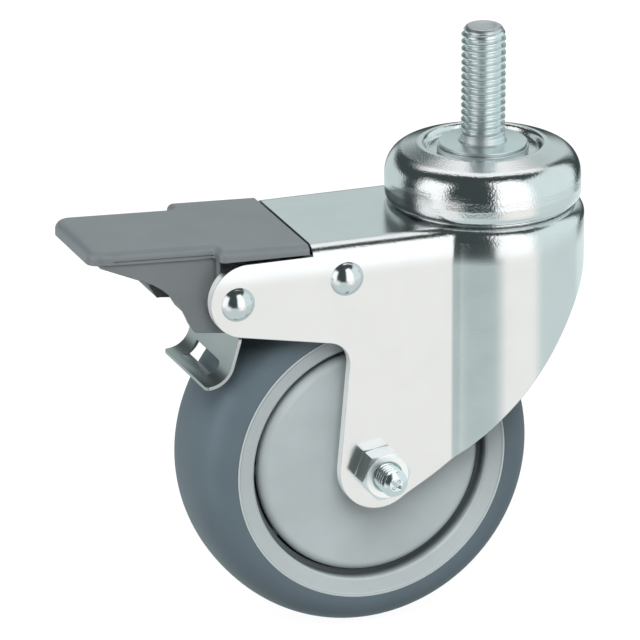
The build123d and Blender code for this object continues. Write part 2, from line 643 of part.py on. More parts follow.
def make_brake_lever():
    """One bent strip: hooked shoe before the wheel, bridge over the tread, two ears, and a locking finger."""
    # upper face of the strip from the lip to the finger: X and height above the axle
    spine = [
        (-90.4, 29.0),
        (-84.3, 29.0),
        (-79.4, 46.2),
        (-73.0, LEVER_LEVEL),
        (-44.5, LEVER_LEVEL),
        (-28.5, 60.2),
        (FINGER_X - BRAKE_SHEET, 60.2),
        (FINGER_X - BRAKE_SHEET, FINGER_TOP),
    ]
    bends = [7.0, 6.0, 5.0, 6.0, 4.0, 0.4]
    upper = FilletPolyline(*spine, radius=bends)
    strip = make_face(offset(upper, BRAKE_SHEET, side=Side.RIGHT))
    body = extrude(Plane.XZ * strip, SHOE_HALF_WIDTH, both=True)

    # front view of the shoe: full width up to rounded shoulders
    low = 20.0
    shoe = Rectangle(2 * SHOE_HALF_WIDTH, SHOE_TOP - low)
    shoe = Pos(0, (SHOE_TOP + low) / 2) * fillet(shoe.vertices().group_by(Axis.Y)[-1], 3.0)
    shoe_region = Pos(-100, 0, 0) * extrude(Plane.YZ * shoe, 40)

    # plan of the rest: lever, tongue, finger
    half = [
        (-95, 0),
        (-95, LEVER_HALF_WIDTH),
        (TONGUE_START - 4, LEVER_HALF_WIDTH),
        (TONGUE_START, TONGUE_HALF_WIDTH),
        (-29, TONGUE_HALF_WIDTH),
        (-23.5, FINGER_WIDTH / 2),
        (FINGER_X + 1, FINGER_WIDTH / 2),
        (FINGER_X + 1, 0),
    ]
    plan = make_face(Polyline(*half, close=True))
    plan = plan + mirror(plan, Plane.XZ)
    lever_region = Pos(0, 0, SHOE_TOP - 8) * extrude(plan, 40)
    body &= shoe_region + lever_region

    # long hole in the shoe, punched round at one end and square at the other
    round_end = SLOT_NEAR + SLOT_HEIGHT / 2
    slot = Pos(round_end, 0) * Circle(SLOT_HEIGHT / 2)
    slot += Pos((round_end + SLOT_FAR) / 2, 0) * Rectangle(SLOT_FAR - round_end, SLOT_HEIGHT)
    body -= Pos(-100, 0, SLOT_CENTER) * extrude(Plane.YZ * slot, 30)
    lip = body.edges().filter_by(lambda e: abs(e.center().X + 90.4) < 0.1 and e.length < 2 * BRAKE_SHEET)
    body = fillet(lip, 1.2)

    # ears folded up at the sides, turning on the tube
    ear_low = LEVER_LEVEL - BRAKE_SHEET
    foot = Pos(BRAKE_PIVOT[0], (ear_low + BRAKE_PIVOT[1]) / 2) * Rectangle(
        2 * EAR_RADIUS, BRAKE_PIVOT[1] - ear_low
    )
    ear = foot + Pos(*BRAKE_PIVOT) * Circle(EAR_RADIUS)
    ear -= Pos(*BRAKE_PIVOT) * Circle(PIVOT_TUBE + RUNNING_GAP)
    ear = extrude(Plane.XZ.offset(LEVER_HALF_WIDTH - BRAKE_SHEET) * ear, BRAKE_SHEET)
    body = body + ear + mirror(ear, Plane.XZ)
    return Pos(0, 0, AXLE_Z) * body


save("brake_lever", make_brake_lever())

# ---- pedal ----
COVER_TOP_REAR = (-61.4, 69.62)     # top line of the cover: X and height above the axle
COVER_TOP_FRONT = (-120.0, 72.5)
COVER_TIP = -124.3
COVER_STEP = -87.9                  # X where the narrow tread-plate widens to match the fork
COVER_HALF_WIDTH = 17.6
COVER_WALL = 2.0
LEVER_SHEET = 2.0
SKIRT_REAR = 67.0
SKIRT_FRONT = 69.1
RIB_FOOT = 61.0
CAM_HALF_WIDTH = 7.5
CAM_CENTER = (-86.0, 50.25)
CAM_RADIUS = 7.55


def cover_line(x, depth=0.0):
    """Height of the cover's top line at x, less a depth."""
    slope = (COVER_TOP_FRONT[1] - COVER_TOP_REAR[1]) / (COVER_TOP_FRONT[0] - COVER_TOP_REAR[0])
    return (x, COVER_TOP_REAR[1] + slope * (x - COVER_TOP_REAR[0]) - depth)


def make_pedal_lever():
    """Pressed steel channel: web under the cover, and two cheeks that turn on the pivot tube."""
    front, rear = -121.5, -64.0
    web_top_front = cover_line(front, COVER_WALL)
    web_top_rear = cover_line(rear, COVER_WALL)
    hub = 10.4
    low = circle_point(PEDAL_PIVOT, hub, -102)
    behind = circle_point(PEDAL_PIVOT, hub, 12)
    corner = (-93.6, 45.7)
    outline = [
        Line(web_top_rear, web_top_front),
        Line(web_top_front, (front, 68.2)),
        Line((front, 68.2), (-106.8, 61.9)),
        Spline(
            (-106.8, 61.9), (-103.9, 60.1), (-100.7, 57.3), (-97.9, 53.9), (-96.1, 50.7), (-95.1, 48.4)
        ),
        Line((-95.1, 48.4), corner),
        Line(corner, low),
        ThreePointArc(low, circle_point(PEDAL_PIVOT, hub, -45), behind),
        Line(behind, (rear, 64.4)),
        Line((rear, 64.4), web_top_rear),
    ]
    side = make_face(Curve() + outline)
    side = fillet([v for v in side.vertices() if (v.center() - Vector(*corner)).length < 0.01], 1.5)
    block = extrude(Plane.XZ * side, CHEEK_OUTSIDE, both=True)
    inside = CHEEK_OUTSIDE - LEVER_SHEET
    void_outline = Polyline(
        cover_line(front - 5, COVER_WALL + LEVER_SHEET),
        cover_line(rear + 5, COVER_WALL + LEVER_SHEET),
        (rear + 5, 30),
        (front - 5, 30),
        close=True,
    )
    void = extrude(Plane.XZ * make_face(void_outline), inside, both=True)
    lever = block - void
    bore = Pos(PEDAL_PIVOT[0], 0, PEDAL_PIVOT[1]) * Rot(90, 0, 0) * Cylinder(PIVOT_TUBE + RUNNING_GAP, 80)
    return Pos(0, 0, AXLE_Z) * (lever - bore)


def make_pedal_cam():
    """Cam block riding on the tube between the cheeks; its round nose bears on the brake lever."""
    top = COVER_WALL + LEVER_SHEET
    tail_front = -103.6
    outline = Polyline(
        cover_line(-78.0, top),
        cover_line(tail_front, top),
        (tail_front, 57.5),
        (-101.3, 53.9),
        (-96.6, 53.8),
        (-94.6, 52.0),
        (-90.7, 45.6),
        (-70.0, 40.0),
        (-70.0, 50.0),
        (-76.4, 54.0),
        close=True,
    )
    nose = Pos(*CAM_CENTER) * Circle(CAM_RADIUS)
    above = Polyline((-110, 75), (-70, 75), (-70, 54.0), (-110, 54.0), close=True)
    side = make_face(outline) & (nose + make_face(above))
    side += Pos(*PEDAL_PIVOT) * Circle(PIVOT_TUBE + 2.0)
    side -= Pos(*PEDAL_PIVOT) * Circle(PIVOT_TUBE + RUNNING_GAP)
    return Pos(0, 0, AXLE_Z) * extrude(Plane.XZ * side, CAM_HALF_WIDTH, both=True)


def make_pedal_cover():
    """Moulded foot plate: narrow in front, widening to carry on the fork's own line at the back."""
    front, rear = COVER_TIP, COVER_TOP_REAR[0]
    length = COVER_STEP - front
    wide = Pos((COVER_STEP + rear) / 2, 0) * Rectangle(rear - COVER_STEP, 2 * FORK_HALF_WIDTH)
    narrow = Pos((front + COVER_STEP) / 2 + 1, 0) * Rectangle(length + 2, 2 * COVER_HALF_WIDTH)
    plan = wide + narrow
    tip_corners = plan.vertices().filter_by(lambda v: abs(v.X - front) < 0.01)
    plan = fillet(tip_corners, 5.0)
    shoulder = plan.vertices().filter_by(lambda v: abs(v.X - COVER_STEP) < 0.01 and abs(v.Y) > 20)
    plan = fillet(shoulder, 2.0)
    inner_corner = plan.vertices().filter_by(lambda v: abs(v.X - COVER_STEP) < 0.01 and abs(v.Y) < 18)
    plan = fillet(inner_corner, 1.0)
    block = Pos(0, 0, 60) * extrude(plan, 20)

    nose_start = cover_line(front + 5.5)
    outline = [
        Line(cover_line(rear), nose_start),
        Bezier(nose_start, cover_line(front + 2.0), (front, 72.2), (front, 70.4)),
        Line((front, 70.4), (front, SKIRT_FRONT - 0.4)),
        Polyline((front, SKIRT_FRONT - 0.4), (-120.7, SKIRT_FRONT), (-93.4, 67.6), (COVER_STEP, 67.6)),
        Line((COVER_STEP, 67.6), (rear, SKIRT_REAR)),
        Line((rear, SKIRT_REAR), cover_line(rear)),
    ]
    body = block & extrude(Plane.XZ * make_face(Curve() + outline), 30, both=True)
    rims = body.edges().filter_by(lambda e: abs(e.center().Y) > 5 and e.center().Z > cover_line(e.center().X, 1.9)[1])
    rims = [e for e in rims if abs(e.center().X - rear) > 0.5 and e.length > 1.0]
    body = fillet(rims, 1.9)

    groove_depth, groove_top, groove_height = 0.3, 2.4, 0.4
    groove_outline = Polyline(
        cover_line(front + 6.5, groove_top),
        cover_line(COVER_STEP, groove_top),
        cover_line(COVER_STEP, groove_top + groove_height),
        cover_line(front + 6.5, groove_top + groove_height),
        close=True,
    )
    groove = Pos(0, -COVER_HALF_WIDTH, 0) * extrude(Plane.XZ * make_face(groove_outline), groove_depth, both=True)
    body -= groove
    body -= mirror(groove, Plane.XZ)

    pocket_half = CHEEK_OUTSIDE + 0.05
    pocket_outline = Polyline(
        cover_line(-121.55, COVER_WALL),
        cover_line(-63.95, COVER_WALL),
        (-63.95, 50),
        (-121.55, 50),
        close=True,
    )
    body -= extrude(Plane.XZ * make_face(pocket_outline), pocket_half, both=True)

    # front wall of the wide part carried down inside each arm
    rib_width, rib_outside = 1.4, 20.0
    rib_top = 69.0
    rib = Pos(COVER_STEP + 0.5, rib_outside - rib_width / 2, (RIB_FOOT + rib_top) / 2)
    rib *= Box(0.9, rib_width, rib_top - RIB_FOOT)
    body += rib
    body += mirror(rib, Plane.XZ)
    return Pos(0, 0, AXLE_Z) * body


save("pedal_lever", make_pedal_lever())
save("pedal_cam", make_pedal_cam())
save("pedal_cover", make_pedal_cover())
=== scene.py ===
import math

import bmesh
import bpy
from mathutils import Matrix, Vector


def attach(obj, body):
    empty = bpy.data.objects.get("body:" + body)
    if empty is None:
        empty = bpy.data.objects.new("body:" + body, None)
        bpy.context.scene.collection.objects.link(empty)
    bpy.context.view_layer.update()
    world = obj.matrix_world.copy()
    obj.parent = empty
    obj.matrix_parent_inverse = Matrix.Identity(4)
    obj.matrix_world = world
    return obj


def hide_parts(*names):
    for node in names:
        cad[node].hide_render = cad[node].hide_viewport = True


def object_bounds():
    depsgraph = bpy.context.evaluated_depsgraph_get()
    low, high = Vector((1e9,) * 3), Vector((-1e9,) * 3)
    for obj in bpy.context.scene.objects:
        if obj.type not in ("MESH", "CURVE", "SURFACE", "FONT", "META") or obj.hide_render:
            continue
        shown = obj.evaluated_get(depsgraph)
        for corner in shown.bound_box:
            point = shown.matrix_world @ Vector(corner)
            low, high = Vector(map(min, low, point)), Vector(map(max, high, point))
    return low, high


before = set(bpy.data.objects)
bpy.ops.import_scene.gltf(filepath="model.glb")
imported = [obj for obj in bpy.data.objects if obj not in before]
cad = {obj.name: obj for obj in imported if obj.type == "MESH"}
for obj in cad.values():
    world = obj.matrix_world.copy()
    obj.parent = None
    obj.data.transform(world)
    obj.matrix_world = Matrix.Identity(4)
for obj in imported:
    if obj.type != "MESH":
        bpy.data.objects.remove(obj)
cad_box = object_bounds()
MM = 0.001


# ---- table, studio and camera ----
# A pale table in a white studio. Soft lamps give plain light from all four sides.
# Bright metal also shows the studio itself: cloth panels with dark gaps between them.


class Wire:
    """What comes out of a shader node. Sums of wires and numbers become Math nodes."""

    def __init__(self, shades, socket):
        self.shades = shades
        self.socket = socket

    def maths(self, operation, *others):
        values = dict(enumerate((self, *others)))
        return self.shades.node("ShaderNodeMath", {"operation": operation}, values)

    def __add__(self, other):
        return self.maths("ADD", other)

    def __sub__(self, other):
        return self.maths("SUBTRACT", other)

    def __mul__(self, other):
        return self.maths("MULTIPLY", other)

    def __truediv__(self, other):
        return self.maths("DIVIDE", other)

    def __rsub__(self, other):
        return self * -1 + other

    __radd__ = __add__
    __rmul__ = __mul__

    def rise(self, start, end):
        """0 up to start, 1 past end, and a smooth rise between them."""
        ends = {"Value": self, "From Min": start, "From Max": end}
        return self.shades.node("ShaderNodeMapRange", {"interpolation_type": "SMOOTHSTEP"}, ends)


class Shades:
    """The shader nodes of one finish, of the studio's cloth, or of the world."""

    def __init__(self, owner):
        owner.use_nodes = True
        self.tree = owner.node_tree
        self.tree.nodes.clear()

    def node(self, kind, settings=None, sockets=None, output=0):
        """Add a node: its settings come first, then what its sockets hold or are wired to."""
        made = self.tree.nodes.new(kind)
        for name, value in (settings or {}).items():
            setattr(made, name, value)
        for name, value in (sockets or {}).items():
            socket = made.inputs[name]
            if isinstance(value, Wire):
                self.tree.links.new(value.socket, socket)
            elif socket.type == "RGBA":
                socket.default_value = (*value, 1)
            else:
                socket.default_value = value
        return Wire(self, made.outputs[output]) if made.outputs else None

    def spot(self):
        """Where the shaded point lies on the piece, in metres."""
        return self.node("ShaderNodeTexCoord", output="Object")

    def xyz(self):
        """The three parts of that place."""
        parts = self.node("ShaderNodeSeparateXYZ", {}, {0: self.spot()}).socket.node.outputs
        return [Wire(self, part) for part in parts]

    def blend(self, factor, first, second):
        """A colour between two others."""
        parts = {"Factor": factor, 6: first, 7: second}
        return self.node("ShaderNodeMix", {"data_type": "RGBA"}, parts, 2)

    def noise(self, size, detail=2.0):
        """Cloudy pattern about 0.5, whose spots are about this big, in metres."""
        setup = {"Vector": self.spot(), "Scale": 1 / size, "Detail": detail}
        return self.node("ShaderNodeTexNoise", {}, setup)

    def surface(self, colour, roughness, edge, relief=None, depth=0.0, **plain):
        """Finish it: edges rounded in the shading, relief of a depth in metres, plain socket values."""
        normal = self.node("ShaderNodeBevel", {"samples": 6}, {"Radius": edge})
        if relief:
            bump = {"Height": relief, "Distance": depth, "Strength": 1.0, "Normal": normal}
            normal = self.node("ShaderNodeBump", {}, bump)
        sockets = {"Base Color": colour, "Roughness": roughness, "Normal": normal}
        sockets.update({name.replace("_", " "): value for name, value in plain.items()})
        shader = self.node("ShaderNodeBsdfPrincipled", {}, sockets)
        self.node("ShaderNodeOutputMaterial", {}, {"Surface": shader})

    def glow(self, colour, strength):
        return self.node("ShaderNodeEmission", {}, {"Color": colour, "Strength": strength})

    def ray(self, *kinds):
        """1 for a ray of one of these kinds."""
        path = [self.node("ShaderNodeLightPath", output=f"Is {kind} Ray") for kind in kinds]
        return sum(path[1:], path[0])


def towards(heading, rise):
    """Unit vector: heading 0 is the near side, -Y, and 90 is +X; rise is above the horizon, in degrees."""
    across, up = math.radians(heading), math.radians(rise)
    return Vector((math.sin(across) * math.cos(up), -math.cos(across) * math.cos(up), math.sin(up)))


def add(name, data, body=None):
    """Put an object into the scene, on a body of the castor if one is named."""
    made = bpy.data.objects.new(name, data)
    bpy.context.scene.collection.objects.link(made)
    if body:
        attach(made, body)
    return made


WHITE = (1.0, 1.0, 1.0)
TABLE_HALF = 4.0
TABLE_CLOTH = (0.42, 0.42, 0.42)
TABLE_GLOW = 1.36                   # the bare table looks white, and only the castor's shadow is darker
SHADOW_SHARE = 0.3                  # how much of that shadow is seen
table_z = cad_box[0].z
table_mesh = bpy.data.meshes.new("table")
corners = [(-1, -1), (1, -1), (1, 1), (-1, 1)]
table_mesh.from_pydata([(x * TABLE_HALF, y * TABLE_HALF, table_z) for x, y in corners], [], [(0, 1, 2, 3)])
table = add("table", table_mesh)
table.visible_glossy = False
table_finish = bpy.data.materials.new("table_cloth")
shades = Shades(table_finish)
matt = shades.node("ShaderNodeBsdfDiffuse", {}, {"Color": TABLE_CLOTH})
bright = shades.glow(WHITE, TABLE_GLOW)
shown = shades.node("ShaderNodeMixShader", {}, {0: SHADOW_SHARE, 1: bright, 2: matt})
upper = shades.node("ShaderNodeMixShader", {}, {0: shades.ray("Camera"), 1: matt, 2: shown})
below = shades.node("ShaderNodeNewGeometry", output="Backfacing")
clear = shades.node("ShaderNodeBsdfTransparent")
both = shades.node("ShaderNodeMixShader", {}, {0: below, 1: upper, 2: clear})
shades.node("ShaderNodeOutputMaterial", {}, {"Surface": both})
table_mesh.materials.append(table_finish)

# the world: white to look at, plain soft light for everything that is lit
SKY_LIGHT = 0.23
world = bpy.data.worlds.new("studio")
bpy.context.scene.world = world
shades = Shades(world)
light = shades.node("ShaderNodeBackground", {}, {"Color": WHITE, "Strength": SKY_LIGHT})
backdrop = shades.node("ShaderNodeBackground", {}, {"Color": WHITE, "Strength": 1.0})
looks = shades.ray("Camera", "Glossy", "Transmission")
both = shades.node("ShaderNodeMixShader", {}, {0: looks, 1: light, 2: backdrop})
shades.node("ShaderNodeOutputWorld", {}, {"Surface": both})

# lamps: heading and rise in degrees, distance and side in metres, and share of the plain light level
for name, heading, rise, distance, side, share in (
    ("lamp_far", 165, 10, 1.8, 0.9, 0.45),
    ("lamp_near", -20, 46, 1.8, 1.2, 0.93),
    ("lamp_left", -90, 12, 1.8, 0.9, 0.34),
    ("lamp_right", 60, 15, 2.0, 1.2, 0.20),
):
    lamp = bpy.data.lights.new(name, "AREA")
    lamp.shape = "SQUARE"
    lamp.size = side
    lamp.energy = share * math.pi**2 * distance**2
    holder = add(name, lamp)
    holder.location = towards(heading, rise) * distance
    holder.rotation_euler = towards(heading, rise).to_track_quat("Z", "Y").to_euler()
    holder.visible_glossy = False

# studio walls, which only reflections show: each cloth panel has a heading, half its width, its lower
# and upper edge and how soft its edges are, all in degrees, and its cloth and brightness
STUDIO_RADIUS = 8.0
DEGREES = 180 / math.pi
GREY_CLOTH = (0.88, 1.0, 1.0)
WARM_CLOTH = (1.0, 0.98, 0.95)
DARK_ROOM = (0.055, 0.07, 0.07)
studio_mesh = bpy.data.meshes.new("studio_walls")
shell = bmesh.new()
bmesh.ops.create_uvsphere(shell, u_segments=64, v_segments=32, radius=STUDIO_RADIUS)
shell.to_mesh(studio_mesh)
shell.free()
studio = add("studio_walls", studio_mesh)
for kind in ("camera", "diffuse", "transmission", "volume_scatter", "shadow"):
    setattr(studio, f"visible_{kind}", False)
studio_finish = bpy.data.materials.new("studio_cloth")
shades = Shades(studio_finish)
x, y, z = shades.xyz()
flat = (x * x + y * y).maths("SQRT")
height = (z / (z * z + flat * flat).maths("SQRT")).maths("ARCSINE") * DEGREES
wall = DARK_ROOM
for heading, half, low, high, soft, cloth, level in (
    (0, 181, -100, -17, 4, GREY_CLOTH, 0.74),       # ground cloth, all round
    (167, 56, -40, -17, 3, GREY_CLOTH, 0.92),       # far side, near the ground
    (-156, 30, -20, 12, 5, GREY_CLOTH, 0.74),       # far left
    (152, 21, 5, 44, 8, GREY_CLOTH, 0.68),          # far side, at eye height
    (160, 62, 46, 100, 8, WHITE, 1.10),             # canopy
    (74, 38, -25, 47, 4, GREY_CLOTH, 0.77),         # right wall, down to the ground cloth
    (74, 38, -13, 47, 4, GREY_CLOTH, 0.91),         # right wall
    (-83, 19, -20, 39, 5, WHITE, 1.25),             # left screen
    (-64, 18, -34, -10, 8, WHITE, 1.00),            # low screen at the near left
    (22.5, 22, -34, -10, 7, WARM_CLOTH, 1.03),      # low screen at the near right
    (15.5, 22, -14, 60, 3, WHITE, 1.35),            # tall screen at the near right
):
    middle = math.radians(heading)
    facing = (x * math.sin(middle) - y * math.cos(middle)) / flat
    aside = facing.maths("ARCCOSINE") * DEGREES
    inside = (1 - aside.rise(half - soft, half + soft)) * height.rise(low - soft, low + soft)
    inside = inside * (1 - height.rise(high - soft, high + soft))
    wall = shades.blend(inside, wall, tuple(level * part for part in cloth))
shades.node("ShaderNodeOutputMaterial", {}, {"Surface": shades.glow(wall, 1.0)})
studio_mesh.materials.append(studio_finish)

# camera: a long lens at the near left, a little above; the wheel's centre is its fixed point
VIEW_HEADING, VIEW_RISE, VIEW_ROLL = -20.76, 19.70, 0.08
PICTURE = 640                       # pixels along each side
FOCAL_PIXELS = 9000.0
PIXELS_PER_METRE = 3493.3           # at the wheel's centre
WHEEL_CENTRE = Vector((-40.33, 0, -86.6)) * MM
WHEEL_CENTRE_PIXEL = (349.73, 442.68)
SENSOR = 36.0                       # width of the film, in millimetres
FAR_LIMIT = 50.0
back = towards(VIEW_HEADING, VIEW_RISE)
level_right = towards(VIEW_HEADING + 90, 0)
level_up = back.cross(level_right)
roll = math.radians(VIEW_ROLL)
right = level_right * math.cos(roll) + level_up * math.sin(roll)
up = level_up * math.cos(roll) - level_right * math.sin(roll)
distance = FOCAL_PIXELS / PIXELS_PER_METRE
off_right = (WHEEL_CENTRE_PIXEL[0] - PICTURE / 2) / PIXELS_PER_METRE
off_down = (WHEEL_CENTRE_PIXEL[1] - PICTURE / 2) / PIXELS_PER_METRE
lens = bpy.data.cameras.new("camera")
lens.sensor_width = SENSOR
lens.lens = FOCAL_PIXELS / PICTURE * SENSOR
lens.clip_end = FAR_LIMIT
camera = add("camera", lens)
pose = Matrix((right, up, back)).transposed().to_4x4()
pose.translation = WHEEL_CENTRE + back * distance - right * off_right + up * off_down
camera.matrix_world = pose
bpy.context.scene.camera = camera
bpy.context.scene.view_settings.view_transform = "Standard"


# ---- threaded stem ----
# Turned steel, zinc plated, with a thread rolled on it and a flat seat that screws home against the
# furniture. Its shank goes through the whole swivel head and is peened over at the bottom.


def skin(name, section, sharp, closed=False, steps=96):
    """Mesh wound round Z: section(angle) gives the radius and height of each row, in millimetres.

    Edges that turn more than this many degrees stay sharp. A closed skin joins its last row to its first."""
    turns = [2 * math.pi * i / steps for i in range(steps)]
    rings = [section(turn) for turn in turns]
    mesh = bmesh.new()
    rows = []
    for row in range(len(rings[0])):
        if max(ring[row][0] for ring in rings) < 1e-6:
            rows.append([mesh.verts.new((0, 0, rings[0][row][1] * MM))] * steps)
            continue
        places = [(ring[row], turn) for ring, turn in zip(rings, turns)]
        rows.append([
            mesh.verts.new((r * math.cos(turn) * MM, r * math.sin(turn) * MM, h * MM))
            for (r, h), turn in places
        ])
    following = rows[1:] + rows[:1] if closed else rows[1:]
    for above, under in zip(rows, following):
        for i in range(steps):
            j = (i + 1) % steps
            corners = list(dict.fromkeys((above[i], under[i], under[j], above[j])))
            if len(corners) > 2:
                mesh.faces.new(corners)
    bmesh.ops.recalc_face_normals(mesh, faces=mesh.faces)
    made = bpy.data.meshes.new(name)
    mesh.to_mesh(made)
    mesh.free()
    made.shade_smooth()
    made.set_sharp_from_angle(angle=math.radians(sharp))
    return made


def clamp(value):
    """Keep a value between 0 and 1."""
    return max(0.0, min(1.0, value))


def thread(angle, height, radius, pitch, depth, crest, root=0.83):
    """Radius of a right-hand thread: its flank starts at crest and ends at root, in half pitches."""
    phase = (height / pitch - angle / (2 * math.pi)) % 1
    return radius - depth * clamp((abs(2 * phase - 1) - crest) / (root - crest))


def zinc_plate(name, tint, roughness, grain, depth, edge, peel=None, dull=None, lean=None):
    """Bright zinc plate on steel: a grain of this size and depth, and faint clouds in the plating.

    peel(shades) may give a mask: where it is 1 the stretched sheet has its full grain.
    dull(shades, colour, rough) may change them with the place, and says how much is bare metal.
    lean(shades) may give the height in metres of a shallow relief."""
    finish = bpy.data.materials.new(name)
    shades = Shades(finish)
    cloud_size, cloud_shade = 9 * MM, 0.975
    clouds = shades.noise(cloud_size, 3.0).rise(0.35, 0.7)
    specks = shades.noise(grain)
    relief = (specks - 0.5) * peel(shades) if peel else specks
    colour = shades.blend(clouds, tint, tuple(cloud_shade * part for part in tint))
    rough = clouds * 0.02 + (specks - 0.5) * 0.05 + roughness
    metal = 1.0
    if dull:
        colour, rough, metal = dull(shades, colour, rough)
    if lean:
        relief = relief + lean(shades) / depth
    shades.surface(colour, rough, edge, relief, depth, Metallic=metal)
    return finish


def paint(piece, finish):
    """Give every face of a piece this finish."""
    piece.data.materials.clear()
    piece.data.materials.append(finish)


STEM_RADIUS = 6.35
STEM_TIP = 34.4
STEM_PITCH = 25.4 / 12
STEM_THREAD_DEPTH, STEM_CREST = 1.05, 0.22
TIP_RING = 4.3                      # radius of the tip's highest ring
TIP_ROUND = 2.6                     # depth over which the tip is rounded
TIP_DISH, TIP_FLOOR = 0.42, 2.2     # depth of the hollow in the tip, and radius of its flat floor
STEM_NECK = 1.5                     # height at which the thread ends
STEM_RUN_OUT = 2.4                  # and how far it fades out above that
PEEN_RADIUS, PEEN_BOTTOM = 9.0, -26.1
PEEN_BALL = 16.88                   # radius of the ball that the peened end is part of


def arc(middle, radius, start, end, steps=3):
    """Round stretch of an outline; angles in degrees, 0 straight out and 90 straight up."""
    angles = [math.radians(start + (end - start) * i / steps) for i in range(steps + 1)]
    return [(middle[0] + radius * math.cos(a), middle[1] + radius * math.sin(a)) for a in angles]


def stem_section(angle):
    """Dished tip, thread, seat disc and collar, the shank inside the head and its peened end."""
    rows_per_turn = 24
    rows = []
    for r in (0.0, TIP_FLOOR, 2.7, 3.2, 3.7, TIP_RING):
        climb = clamp((r - TIP_FLOOR) / (TIP_RING - TIP_FLOOR))
        rows.append((r, STEM_TIP - TIP_DISH * (1 + math.cos(math.pi * climb)) / 2))
    count = round((STEM_TIP - STEM_NECK) / STEM_PITCH * rows_per_turn)
    for i in range(1, count + 1):
        down = i * (STEM_TIP - STEM_NECK) / count
        depth = STEM_THREAD_DEPTH * clamp((STEM_TIP - down - STEM_NECK) / STEM_RUN_OUT)
        radius = thread(angle, STEM_TIP - down, STEM_RADIUS, STEM_PITCH, depth, STEM_CREST)
        rounded = TIP_RING + (STEM_RADIUS - TIP_RING) * clamp(down / TIP_ROUND) ** 0.45
        rows.append((min(radius, rounded), STEM_TIP - down))
    rows += arc((7.25, 0.9), 0.9, 180, 270)                     # fillet onto the seat disc
    rows += arc((12.45, -0.25), 0.25, 90, 0)                    # edge of the seat disc
    rows += [(12.7, -0.6), (12.1, -0.6), (12.1, -1.0)]          # undercut
    rows += arc((12.85, -1.25), 0.25, 90, 0)                    # edge of the collar
    rows += [(13.1, -2.6), (8.0, -2.6), (8.0, -16.9), (6.0, -16.9), (6.0, -23.5)]
    start = -math.degrees(math.acos(PEEN_RADIUS / PEEN_BALL))
    return rows + arc((0.0, PEEN_BOTTOM + PEEN_BALL), PEEN_BALL, start, -90, 6)


ZINC = (0.78, 0.805, 0.81)
BLUE_ZINC = (0.79, 0.86, 0.87)
TIP_ZINC = (0.64, 0.66, 0.68)


def worn_tip(shades, colour, rough):
    """The end face is greyer and rougher, and the foot has a softer shine than the thread."""
    height = shades.xyz()[2]
    top = height.rise((STEM_TIP - 1.4) * MM, (STEM_TIP - 0.3) * MM)
    foot = height.rise(0.05 * MM, 0.3 * MM) * (1 - height.rise(1.6 * MM, 5.0 * MM))
    return shades.blend(top, colour, TIP_ZINC), rough + top * 0.1 + foot * 0.16, 1.0


stem = add("stem_with_thread", skin("stem_with_thread", stem_section, sharp=75), "head")
stem_finish = zinc_plate(
    "stem_zinc", BLUE_ZINC, roughness=0.29, grain=0.5 * MM, depth=0.02 * MM, edge=0.06 * MM, dull=worn_tip
)
paint(stem, stem_finish)
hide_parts("threaded_stem")


# ---- bearing cup ----
# Deep drawn from sheet over the upper ball row. The draw leaves it nearly mirror bright, with a fine
# orange-peel grain, and its lower rim is curled in.
CUP_DRAFT = 4.0                     # degrees that the upper part of its wall leans in
CUP_DRAFT_FOOT, CUP_DRAFT_TOP = -12.2 * MM, -8.5 * MM


def draft(shades):
    """How far the wall leans out at each height."""
    reach = (CUP_DRAFT_TOP - CUP_DRAFT_FOOT) * math.tan(math.radians(CUP_DRAFT))
    span = {"Value": shades.xyz()[2], "From Min": CUP_DRAFT_FOOT, "From Max": CUP_DRAFT_TOP}
    return shades.node("ShaderNodeMapRange", {}, {**span, "To Min": reach, "To Max": 0.0})


cup_finish = zinc_plate(
    "cup_zinc", ZINC, roughness=0.09, grain=0.55 * MM, depth=0.055 * MM, edge=0.2 * MM, lean=draft
)
paint(cad["bearing_cup"], cup_finish)


# ---- ball rows, lower cone and lock ring ----
# Hardened parts inside the head. The balls are polished; the cone and the notched ring are left with
# the thin dark skin of hardening and a film of oil.


def hard_steel(name, tint, roughness):
    """Hardened steel with an oiled skin in uneven tones."""
    finish = bpy.data.materials.new(name)
    shades = Shades(finish)
    film_size, film_shine = 4 * MM, 1.25
    film = shades.noise(film_size, 4.0)
    colour = shades.blend(film, tint, tuple(film_shine * part for part in tint))
    shades.surface(colour, film * 0.12 + roughness, edge=0.12 * MM, Metallic=1.0)
    return finish


BALL_STEEL = (0.68, 0.69, 0.71)
RING_STEEL = (0.38, 0.38, 0.39)
ball_finish = hard_steel("ball_steel", BALL_STEEL, roughness=0.04)
ring_finish = hard_steel("hardened_steel", RING_STEEL, roughness=0.28)
for name in ("upper_balls", "lower_balls", "bearing_balls_near", "bearing_balls_far"):
    paint(cad[name], ball_finish)
for name in ("lower_cone", "swivel_lock_ring"):
    paint(cad[name], ring_finish)


# ---- fork ----
# One pressing of 3 mm sheet, zinc plated and bright. The round head, both cheeks and the ball seat are
# drawn from the same blank, so the sheet has an orange-peel grain where it was stretched round bends.
FORK_BEND_FOOT = -22.5 * MM         # height where the bend under the top plate ends,
SHOULDER_FOOT = -28 * MM            # and below which the sides stand upright
SHOULDER_CURVE = 19.0               # growth of that lean, as slope per metre
CHEEK_INNER, CHEEK_OUTER = 20.2 * MM, 23.2 * MM
CHEEK_FRONT = -18 * MM              # in front of this the cheeks run into the round head
CUT_ZINC = (0.90, 0.93, 0.93)


def stretched(shades):
    """1 over the bends of the fork's top, and little on its flat cheeks."""
    height = shades.xyz()[2]
    return height.rise(FORK_BEND_FOOT - 2 * MM, FORK_BEND_FOOT + 1.5 * MM) * 0.9 + 0.1


